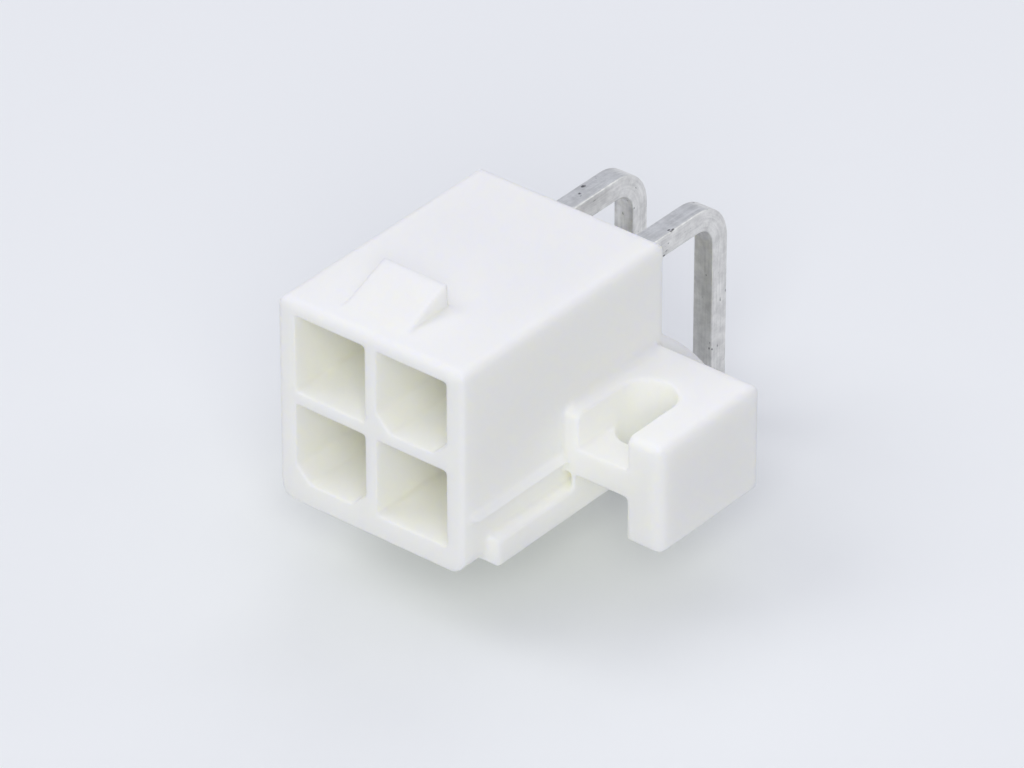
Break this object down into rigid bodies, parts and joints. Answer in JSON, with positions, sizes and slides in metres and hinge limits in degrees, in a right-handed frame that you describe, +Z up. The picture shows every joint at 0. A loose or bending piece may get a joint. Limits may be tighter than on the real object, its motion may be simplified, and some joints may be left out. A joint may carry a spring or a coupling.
{
  "type": "right-angle board header",
  "caption": "Right-angle shrouded pin header for a circuit board: a white nylon housing with keyed cells, a latch ramp, slotted screw flanges, and square pins bent down to the board.",
  "frame": {"origin": "on the board plane, midway between the two flange screw holes", "axes": "+X along a row of cells, to the right when looking into the mating face; +Y from the mating face towards the pins' legs; +Z up from the board"},
  "size_m": [0.0193, 0.0199, 0.0142],
  "materials": {
    "nylon": "natural white nylon as moulded, matt and slightly translucent",
    "tinned_brass": "matt tin plate over drawn square brass wire"
  },
  "bodies": {
    "root": {"housing": "nylon", "pin_upper_left": "tinned_brass", "pin_upper_right": "tinned_brass", "pin_lower_left": "tinned_brass", "pin_lower_right": "tinned_brass"}
  },
  "joints": []
}
